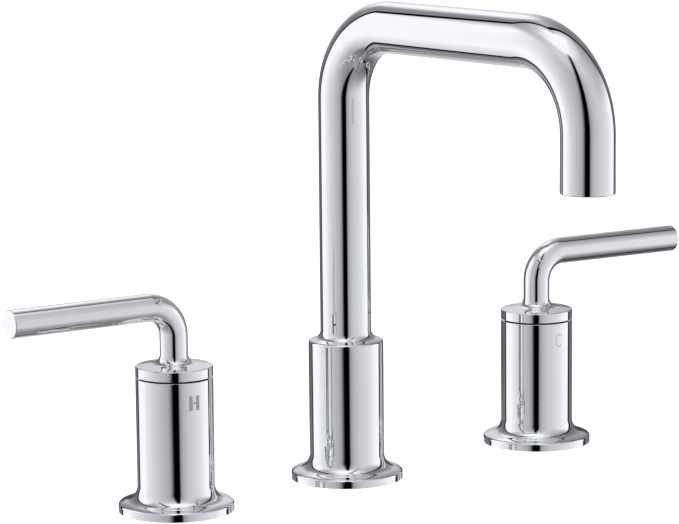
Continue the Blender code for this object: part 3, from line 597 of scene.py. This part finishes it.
def make_valve_body(name, node, out, material):
    """Supply nipple, block with a side outlet, threaded shank and open cartridge chamber."""
    x = station_x(node.replace("valve_body", "escutcheon"))
    points = [(supply_bore, supply_bottom), (supply_radius - nipple_chamfer, supply_bottom)]
    points += thread_points(supply_radius, supply_bottom + nipple_chamfer,
                            block_bottom - edge_break)
    points += [(supply_radius, block_bottom), (block_radius - block_chamfer, block_bottom),
               (block_radius, block_bottom + block_chamfer), (block_radius, block_top),
               (shank_radius, block_top + block_chamfer)]
    points += thread_points(shank_radius, block_top + block_chamfer + edge_break,
                            shank_top - edge_break)
    points += [(neck_radius, shank_top), (neck_radius, neck_top), (chamber_radius, neck_top),
               (chamber_radius, chamber_floor), (supply_bore, chamber_floor)]
    piece = make_hardware(name, points, coldward * x, upward, coldward, material, node)
    join_outlet(piece, Vector((x, 0, outlet_height)), out)
    for share in (-1, 0, 1):
        heading = math.atan2(out.y, out.x) + share * passage_spread
        foot = Vector((x + passage_reach * math.cos(heading), passage_reach * math.sin(heading), 0))
        passage = rod(name + "_passage", passage_radius, foot, upward,
                      outlet_height - outlet_bore / 2, chamber_floor + nipple_chamfer)
        combine(piece, passage, "DIFFERENCE")


def make_spout_shank(material):
    """The hollow threaded stud that clamps the spout, with its O-ring's groove."""
    low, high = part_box("spout_shank")
    points = [(spout_shank_bore, low[2])]
    points += thread_points(spout_shank_radius, low[2] + edge_break, spout_thread_top)
    points += [(spout_shank_radius, spout_thread_top + edge_break),
               (spout_shank_radius, ring_groove_low), (ring_groove_radius, ring_groove_low),
               (ring_groove_radius, ring_groove_high), (spout_shank_radius, ring_groove_high),
               (spout_shank_radius, high[2] - nipple_chamfer),
               (spout_shank_radius - nipple_chamfer, high[2]), (spout_shank_bore, high[2])]
    make_hardware("spout_thread", points, Vector((0, 0, 0)), upward, coldward, material,
                  "spout_shank")


def make_tee(material):
    """The block under the spout's shank, with a threaded nipple for each connecting tube."""
    points = [(spout_shank_bore, tee_chamber_bottom), (spout_shank_bore, tee_shoulder),
              (spout_shank_radius + play, tee_shoulder), (spout_shank_radius + play, tee_top),
              (tee_radius - edge_break, tee_top), (tee_radius, tee_top - edge_break),
              (tee_radius, tee_bottom + nipple_chamfer),
              (tee_radius - nipple_chamfer, tee_bottom)]
    piece = ring_mesh("water_tee", straight_rings(points, Vector((0, 0, 0)), upward), coldward,
                      count=hardware_sides)
    finish_piece(piece, "deck_set", material, ["inlet_tee"])
    for out in (-coldward, coldward):
        join_outlet(piece, upward * outlet_height, out)


def make_link_tube(side, material):
    """The tube from a valve to the tee, with a collar at each end."""
    node = side + "_link_tube"
    low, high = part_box(node)
    end = high[0] - low[0]
    collar = link_collar_radius - edge_break
    points = [(link_bore, 0), (collar, 0), (link_collar_radius, edge_break),
              (link_collar_radius, link_collar_length - edge_break), (collar, link_collar_length),
              (link_radius + edge_break, link_collar_length),
              (link_radius, link_collar_length + edge_break),
              (link_radius, end - link_collar_length - edge_break),
              (link_radius + edge_break, end - link_collar_length),
              (collar, end - link_collar_length),
              (link_collar_radius, end - link_collar_length + edge_break),
              (link_collar_radius, end - edge_break), (collar, end), (link_bore, end)]
    start = Vector((low[0], 0, outlet_height))
    make_hardware(side + "_water_tube", points, start, coldward, upward, material, node)


def make_link_nut(side, place, material):
    """The nut over a collar, its narrow end towards the middle of the tube."""
    node = "%s_link_%s_nut" % (side, place)
    low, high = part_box(node)
    if station_x(node) > station_x(side + "_link_tube"):
        foot, along = low[0], coldward
    else:
        foot, along = high[0], -coldward
    end = high[0] - low[0]
    corner = link_nut_flat_radius / math.cos(math.pi / 6)
    chamfered = hexagon_radius(link_nut_flat_radius, corner - link_nut_corner_cut)
    full = hexagon_radius(link_nut_flat_radius, corner)
    rim = link_nut_flat_radius - edge_break
    inner = outlet_radius + play
    points = [(link_radius + play, 0), (rim, 0), (chamfered, nut_corner_rise),
              (full, nut_chamfer), (full, end - nut_chamfer),
              (chamfered, end - nut_corner_rise), (rim, end), (inner, end),
              (inner, link_nut_shoulder), (link_radius + play, link_nut_shoulder)]
    make_hardware("%s_%s_coupling" % (side, place), points, Vector((foot, 0, outlet_height)),
                  along, upward, material, node)


def make_deck_hardware(finishes):
    """Everything that clamps and feeds the set from below the deck."""
    for station, inner in (("hot", shank_radius), ("spout", spout_shank_radius),
                           ("cold", shank_radius)):
        make_flat_ring(station + "_seal", station + "_deck_gasket", gasket_bore, gasket_radius,
                       finishes["rubber"])
        make_flat_ring(station + "_soft_washer", station + "_rubber_washer", inner + play,
                       washer_radius, finishes["rubber"])
        make_flat_ring(station + "_hard_washer", station + "_steel_washer", inner + play,
                       washer_radius, finishes["steel"])
        make_locknut(station + "_clamp_nut", station + "_locknut", inner + play,
                     finishes["brass"])
    for side, out in (("hot", coldward), ("cold", -coldward)):
        make_valve_body(side + "_body", side + "_valve_body", out, finishes["brass"])
    make_spout_shank(finishes["brass"])
    make_tee(finishes["brass"])
    for side in ("hot", "cold"):
        make_link_tube(side, finishes["brass"])
        for place in ("valve", "tee"):
            make_link_nut(side, place, finishes["brass"])


def feed(tree, socket, value):
    """Links a socket to another node's output, or sets its value."""
    if isinstance(value, bpy.types.NodeSocket):
        tree.links.new(value, socket)
    else:
        socket.default_value = value


def calculate(tree, operation, first, second=0.0, third=0.0):
    """The result of a sum on sockets or numbers."""
    node = tree.nodes.new("ShaderNodeMath")
    node.operation = operation
    for socket, value in zip(node.inputs, (first, second, third)):
        feed(tree, socket, value)
    return node.outputs[0]


def spread(tree, value, low, high, to_low=0.0, to_high=1.0, smooth=False):
    """Maps a value from one range to another and holds it there."""
    node = tree.nodes.new("ShaderNodeMapRange")
    if smooth:
        node.interpolation_type = "SMOOTHSTEP"
    for name, number in (("Value", value), ("From Min", low), ("From Max", high),
                         ("To Min", to_low), ("To Max", to_high)):
        feed(tree, node.inputs[name], number)
    return node.outputs["Result"]


def blend(tree, share, first, second):
    """A colour between two colours."""
    node = tree.nodes.new("ShaderNodeMix")
    node.data_type = "RGBA"
    feed(tree, node.inputs["Factor"], share)
    for socket, colour in zip([s for s in node.inputs if s.type == "RGBA"], (first, second)):
        feed(tree, socket, (*colour, 1) if isinstance(colour, tuple) else colour)
    return [s for s in node.outputs if s.type == "RGBA"][0]


def noise(tree, size, detail, stretch=(1, 1, 1)):
    """Cloudy noise that rides with the piece, its lumps about the given size across."""
    place = tree.nodes.new("ShaderNodeTexCoord")
    mapping = tree.nodes.new("ShaderNodeMapping")
    mapping.inputs["Scale"].default_value = stretch
    cloud = tree.nodes.new("ShaderNodeTexNoise")
    cloud.inputs["Scale"].default_value = 1 / size
    cloud.inputs["Detail"].default_value = detail
    tree.links.new(place.outputs["Object"], mapping.inputs["Vector"])
    tree.links.new(mapping.outputs["Vector"], cloud.inputs["Vector"])
    return cloud.outputs["Fac"]


def finish_material(name, metallic, dark, light, patch, smooth, rough, grain, relief,
                    stretch=(1, 1, 1)):
    """A finish whose colour drifts in patches and whose roughness and relief follow its grain."""
    material = bpy.data.materials.new(name)
    material.use_nodes = True
    tree = material.node_tree
    shader = tree.nodes["Principled BSDF"]
    shader.inputs["Metallic"].default_value = metallic
    patches = noise(tree, patch, patch_detail)
    grains = noise(tree, grain, grain_detail, stretch)
    feed(tree, shader.inputs["Base Color"],
         blend(tree, spread(tree, patches, *patch_range), dark, light))
    feed(tree, shader.inputs["Roughness"], spread(tree, grains, *grain_range, smooth, rough))
    bump = tree.nodes.new("ShaderNodeBump")
    bump.inputs["Distance"].default_value = relief
    feed(tree, bump.inputs["Height"], grains)
    feed(tree, shader.inputs["Normal"], bump.outputs["Normal"])
    return material


def make_chrome():
    """Polished plate, all but a perfect mirror."""
    return finish_material("polished_chrome", metallic=1.0, dark=(0.875, 0.88, 0.895),
                           light=(0.90, 0.905, 0.92), patch=30 * millimetre, smooth=0.008,
                           rough=0.02, grain=6 * millimetre, relief=0.0003 * millimetre)


def make_brass():
    """Machined brass, slightly dulled, with fine turning marks across the axis."""
    return finish_material("machined_brass", metallic=1.0, dark=(0.62, 0.43, 0.18),
                           light=(0.80, 0.62, 0.31), patch=9 * millimetre, smooth=0.22,
                           rough=0.42, grain=0.5 * millimetre, relief=0.02 * millimetre,
                           stretch=(1, 1, 6))


def make_steel():
    """Stamped stainless steel with the sheet's rolling marks."""
    return finish_material("stamped_steel", metallic=1.0, dark=(0.55, 0.55, 0.56),
                           light=(0.68, 0.68, 0.69), patch=6 * millimetre, smooth=0.25,
                           rough=0.40, grain=0.6 * millimetre, relief=0.015 * millimetre,
                           stretch=(5, 1, 1))


def make_rubber():
    """Matt black rubber for gaskets, washers and O-rings."""
    return finish_material("black_rubber", metallic=0.0, dark=(0.022, 0.022, 0.023),
                           light=(0.045, 0.045, 0.046), patch=5 * millimetre, smooth=0.60,
                           rough=0.85, grain=0.4 * millimetre, relief=0.03 * millimetre)


def make_nylon():
    """Moulded white plastic for the aerator."""
    return finish_material("moulded_nylon", metallic=0.0, dark=(0.74, 0.74, 0.71),
                           light=(0.83, 0.83, 0.81), patch=7 * millimetre, smooth=0.35,
                           rough=0.50, grain=0.5 * millimetre, relief=0.01 * millimetre)


def make_ceramic():
    """Lapped alumina for the cartridges' discs."""
    return finish_material("lapped_ceramic", metallic=0.0, dark=(0.84, 0.81, 0.76),
                           light=(0.91, 0.90, 0.86), patch=2 * millimetre, smooth=0.10,
                           rough=0.22, grain=0.2 * millimetre, relief=0.002 * millimetre)


def make_painted_gap_shade():
    """Near-black finish for the rings under the caps, painted as the shade of the dark seam in the gap
    there.
    """
    return finish_material("painted_gap_shade_finish", metallic=0.0, dark=(0.006, 0.006, 0.007),
                           light=(0.012, 0.012, 0.013), patch=5 * millimetre, smooth=0.45,
                           rough=0.6, grain=0.4 * millimetre, relief=0.01 * millimetre)


def make_inlay(name, dark, light):
    """The matt grey filling of an engraved letter."""
    return finish_material(name, metallic=0.0, dark=dark, light=light, patch=1 * millimetre,
                           smooth=0.5, rough=0.7, grain=0.2 * millimetre,
                           relief=0.01 * millimetre)


def make_finishes():
    """One material for each finish that the record names, by its slot."""
    return {"chrome": make_chrome(), "brass": make_brass(), "steel": make_steel(),
            "rubber": make_rubber(), "nylon": make_nylon(), "ceramic": make_ceramic()}


def dress_nodes(finishes):
    """Gives every CAD node the finish of its own slot, and paints the cap rings black as seam shade."""
    for row in frame["record"]["subparts"]:
        node = frame["nodes"][row["node"]]
        if not node.material_slots:
            node.data.materials.append(None)
        for held in node.material_slots:
            held.material = finishes[row["material_slot"]]
    # The rings under the caps are painted near black, as the shade in the gap under each cap.
    gap_shade = make_painted_gap_shade()
    for name in ("hot_glide_ring", "cold_glide_ring"):
        for held in frame["nodes"][name].material_slots:
            held.material = gap_shade


def mark_bands(letter):
    """Bands of a letter, each a list of its two edges' points (across, up) in turn."""
    half_width = mark_width / 2
    half_height = mark_height / 2
    if letter == "H":
        bands = []
        for inner, outer in ((-half_width, mark_stem - half_width),
                             (half_width - mark_stem, half_width)):
            middle = (inner + outer) / 2
            bands.append([((across, -half_height), (across, half_height))
                          for across in (inner, middle, outer)])
        bar = half_width - mark_stem
        bands.append([((bar * share, -mark_bar / 2), (bar * share, mark_bar / 2))
                      for share in mark_bar_shares])
        return bands
    arc = []
    curve_width = half_width * mark_curve_share
    for step in range(mark_steps + 1):
        angle = mark_mouth / 2 + (math.tau - mark_mouth) * step / mark_steps
        arc.append(((curve_width * math.cos(angle), half_height * math.sin(angle)),
                    ((curve_width - mark_bar) * math.cos(angle),
                     (half_height - mark_bar) * math.sin(angle))))
    return [arc]


def make_mark(name, letter, node, heading, centre, material):
    """A thin inlaid letter that wraps round the front of an escutcheon."""
    x = station_x(node)
    mesh = bpy.data.meshes.new(name)
    shape = bmesh.new()
    for band in mark_bands(letter):
        rows = []
        for edges in band:
            row = []
            for across, up in edges:
                for radius in (body_radius - mark_depth, body_radius + mark_proud):
                    angle = across / body_radius + heading
                    row.append(shape.verts.new((x + radius * math.cos(angle),
                                                radius * math.sin(angle), centre + up)))
            rows.append([row[0], row[1], row[3], row[2]])
        for first, second in zip(rows, rows[1:]):
            for corner in range(4):
                after = (corner + 1) % 4
                shape.faces.new((first[corner], first[after], second[after], second[corner]))
        shape.faces.new(list(reversed(rows[0])))
        shape.faces.new(rows[-1])
    bmesh.ops.recalc_face_normals(shape, faces=shape.faces)
    shape.to_mesh(mesh)
    shape.free()
    piece = bpy.data.objects.new(name, mesh)
    bpy.context.scene.collection.objects.link(piece)
    piece.data.materials.append(material)
    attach(piece, "deck_set")


def make_camera():
    """The photograph's camera, rolled by half a degree as it was."""
    camera = bpy.data.cameras.new("camera")
    camera.sensor_width = camera_sensor
    camera.lens = camera_lens
    mount = bpy.data.objects.new("camera", camera)
    bpy.context.scene.collection.objects.link(mount)
    back = Vector((math.sin(camera_heading) * math.cos(camera_elevation),
                   -math.cos(camera_heading) * math.cos(camera_elevation),
                   math.sin(camera_elevation)))
    right = upward.cross(back).normalized()
    above = back.cross(right)
    turned_right = right * math.cos(camera_roll) + above * math.sin(camera_roll)
    turned_above = above * math.cos(camera_roll) - right * math.sin(camera_roll)
    place = camera_target + back * camera_distance
    matrix = mount.matrix_world.copy()
    for row in range(3):
        matrix[row][0] = turned_right[row]
        matrix[row][1] = turned_above[row]
        matrix[row][2] = back[row]
        matrix[row][3] = place[row]
    mount.matrix_world = matrix
    bpy.context.scene.camera = mount


def tone_ramp(tree, heading, tones):
    """Brightness round the tent, from stops at headings in degrees."""
    ramp = tree.nodes.new("ShaderNodeValToRGB")
    feed(tree, ramp.inputs["Fac"], spread(tree, heading, -half_circle, half_circle))
    stops = ramp.color_ramp.elements
    for stop_heading, tone in tones[1:-1]:
        place = (stop_heading + half_circle) / (2 * half_circle)
        stops.new(place).color = (tone, tone, tone, 1)
    for end in (0, -1):
        tone = tones[end][1]
        stops[end].color = (tone, tone, tone, 1)
    return ramp.outputs["Color"]


def layered_tones(tree, heading, height, lowest, layers):
    """Brightness from the lowest tones up, where each layer takes over between two heights."""
    tone = tone_ramp(tree, heading, lowest)
    for start, end, tones in layers:
        upper = tone_ramp(tree, heading, tones)
        tone = blend(tree, spread(tree, height, start, end, smooth=True), tone, upper)
    return tone


def tent_direction(tree):
    """The direction from the tent's middle, as shares of the radius."""
    place = tree.nodes.new("ShaderNodeTexCoord")
    unit = tree.nodes.new("ShaderNodeVectorMath")
    unit.operation = "NORMALIZE"
    tree.links.new(place.outputs["Object"], unit.inputs[0])
    parts = tree.nodes.new("ShaderNodeSeparateXYZ")
    tree.links.new(unit.outputs["Vector"], parts.inputs["Vector"])
    return parts.outputs


def seam_distance(tree, x, y, z, height):
    """How far a place lies ahead of the slanting seam that joins the tent's front and back."""
    left_slant = spread(tree, height, *seam_slant_heights, *left_seam_slants)
    right_slant = spread(tree, height, *seam_slant_heights, *right_seam_slants)
    slant = spread(tree, y, -seam_side_fade, seam_side_fade, left_slant, right_slant)
    reach = calculate(tree, "MULTIPLY_ADD", calculate(tree, "ABSOLUTE", y), slant, x)
    rise = calculate(tree, "MAXIMUM", calculate(tree, "SUBTRACT", z, seam_bend), 0.0)
    return calculate(tree, "MULTIPLY_ADD", rise, seam_climb, reach)


def seam_cover(tree, ahead, height):
    """One on the black seam and zero off it."""
    half_width = spread(tree, height, *seam_width_heights, *seam_half_widths)
    inside = calculate(tree, "SUBTRACT", half_width, calculate(tree, "ABSOLUTE", ahead))
    return spread(tree, inside, -seam_fade, seam_fade, smooth=True)


def opening_cover(tree, heading, height):
    """One in the dark opening between its two leaning edges and below its top, else zero."""
    climb = calculate(tree, "MAXIMUM", height, 0.0)
    left = calculate(tree, "MULTIPLY_ADD", climb, opening_left_lean, opening_left)
    right = calculate(tree, "MULTIPLY_ADD", climb, opening_right_lean, opening_right)
    past_left = calculate(tree, "SUBTRACT", heading, left)
    past_right = calculate(tree, "SUBTRACT", heading, right)
    from_left = spread(tree, past_left, *opening_left_fade, smooth=True)
    to_right = spread(tree, past_right, *opening_right_fade, 1, 0, smooth=True)
    to_top = spread(tree, height, *opening_top_fade, 1, 0, smooth=True)
    return calculate(tree, "MULTIPLY", calculate(tree, "MULTIPLY", from_left, to_right), to_top)


def tent_material():
    """Lit cloth round the front with a dark opening, joined to a dim back by a black seam."""
    material = bpy.data.materials.new("tent_cloth")
    material.use_nodes = True
    tree = material.node_tree
    tree.nodes.clear()
    x, y, z = tent_direction(tree)
    heading = calculate(tree, "DEGREES", calculate(tree, "ARCTAN2", y, x))
    height = calculate(tree, "DEGREES", calculate(tree, "ARCSINE", z))
    front = layered_tones(tree, heading, height, front_low_tones, front_layers)
    back = layered_tones(tree, heading, height, back_low_tones, back_layers)
    ahead = seam_distance(tree, x, y, z, height)
    tone = blend(tree, spread(tree, ahead, -front_fade, front_fade), back, front)
    dark = calculate(tree, "MAXIMUM", seam_cover(tree, ahead, height),
                     opening_cover(tree, heading, height))
    tone = blend(tree, dark, tone, (0.0, 0.0, 0.0))
    tint = blend(tree, spread(tree, tone, *tint_tones), dim_tint, bright_tint)
    coloured = tree.nodes.new("ShaderNodeVectorMath")
    coloured.operation = "MULTIPLY"
    tree.links.new(tone, coloured.inputs[0])
    tree.links.new(tint, coloured.inputs[1])
    glow = tree.nodes.new("ShaderNodeEmission")
    glow.inputs["Strength"].default_value = tent_strength
    tree.links.new(coloured.outputs["Vector"], glow.inputs["Color"])
    output = tree.nodes.new("ShaderNodeOutputMaterial")
    tree.links.new(glow.outputs["Emission"], output.inputs["Surface"])
    return material


def make_tent():
    """The cloth sphere that lights the set, opening towards the camera, which doesn't see it."""
    mesh = bpy.data.meshes.new("light_tent")
    shape = bmesh.new()
    bmesh.ops.create_uvsphere(shape, u_segments=tent_segments, v_segments=tent_rings,
                              radius=tent_radius)
    shape.to_mesh(mesh)
    shape.free()
    mesh.shade_smooth()
    mesh.materials.append(tent_material())
    tent = bpy.data.objects.new("light_tent", mesh)
    tent.location.z = tent_centre
    tent.rotation_euler.z = camera_heading - math.pi / 2
    tent.visible_camera = False
    bpy.context.scene.collection.objects.link(tent)


def floor_material():
    """White to the camera, but for the object's shadow, and a dim mirror to the chrome."""
    material = bpy.data.materials.new("studio_floor")
    material.use_nodes = True
    tree = material.node_tree
    tree.nodes.clear()
    path = tree.nodes.new("ShaderNodeLightPath")
    seen = calculate(tree, "MAXIMUM", path.outputs["Is Camera Ray"],
                     path.outputs["Is Transmission Ray"])
    glow = tree.nodes.new("ShaderNodeEmission")
    feed(tree, glow.inputs["Strength"], calculate(tree, "MULTIPLY", seen, floor_glow))
    matt = tree.nodes.new("ShaderNodeBsdfDiffuse")
    matt.inputs["Color"].default_value = floor_colour
    plain = tree.nodes.new("ShaderNodeAddShader")
    tree.links.new(glow.outputs[0], plain.inputs[0])
    tree.links.new(matt.outputs[0], plain.inputs[1])
    slant = tree.nodes.new("ShaderNodeLayerWeight")
    sheen = spread(tree, slant.outputs["Facing"], *floor_slants, *floor_sheens)
    mirror = tree.nodes.new("ShaderNodeBsdfGlossy")
    mirror.inputs["Roughness"].default_value = 0.0
    feed(tree, mirror.inputs["Color"], sheen)
    mix = tree.nodes.new("ShaderNodeMixShader")
    feed(tree, mix.inputs[0], path.outputs["Is Glossy Ray"])
    tree.links.new(plain.outputs[0], mix.inputs[1])
    tree.links.new(mirror.outputs[0], mix.inputs[2])
    output = tree.nodes.new("ShaderNodeOutputMaterial")
    tree.links.new(mix.outputs[0], output.inputs["Surface"])
    return material


def make_floor():
    """The counter that the flanges stand on, a hair below their gaskets."""
    mesh = bpy.data.meshes.new("floor")
    shape = bmesh.new()
    bmesh.ops.create_grid(shape, x_segments=1, y_segments=1, size=floor_half_width)
    shape.to_mesh(mesh)
    shape.free()
    mesh.materials.append(floor_material())
    floor = bpy.data.objects.new("floor", mesh)
    floor.location.z = -floor_drop
    bpy.context.scene.collection.objects.link(floor)


def make_lamp():
    """A wide soft lamp under the tent's top, which lights the floor and the plain finishes."""
    light = bpy.data.lights.new("soft_lamp", "AREA")
    light.shape = "DISK"
    light.size = lamp_width
    light.energy = lamp_power
    lamp = bpy.data.objects.new("soft_lamp", light)
    lamp.location.z = lamp_height
    lamp.visible_camera = False
    lamp.visible_glossy = False
    bpy.context.scene.collection.objects.link(lamp)


def make_world():
    """White behind everything."""
    world = bpy.data.worlds.new("studio")
    bpy.context.scene.world = world
    world.use_nodes = True
    background = world.node_tree.nodes["Background"]
    background.inputs["Color"].default_value = (1, 1, 1, 1)


cad_finishes = make_finishes()
chrome = cad_finishes["chrome"]
dress_nodes(cad_finishes)
make_escutcheon("hot_shell", "hot_escutcheon", chrome)
make_escutcheon("cold_shell", "cold_escutcheon", chrome)
make_lever("hot_lever", "hot_lever_handle", math.pi + hot_turn, hot_screw_heading, "hot_handle",
           chrome)
make_lever("cold_lever", "cold_lever_handle", cold_turn, cold_screw_heading, "cold_handle", chrome)
make_spout(chrome)
make_deck_hardware(cad_finishes)
make_mark("hot_mark", "H", "hot_escutcheon", hot_mark_heading, hot_mark_centre,
          make_inlay("hot_inlay", (0.40, 0.40, 0.42), (0.50, 0.50, 0.52)))
make_mark("cold_mark", "C", "cold_escutcheon", cold_mark_heading, cold_mark_centre,
          make_inlay("cold_inlay", (0.70, 0.70, 0.72), (0.78, 0.78, 0.80)))
make_tent()
make_floor()
make_lamp()
make_world()
make_camera()
bpy.context.scene.view_settings.view_transform = "Standard"
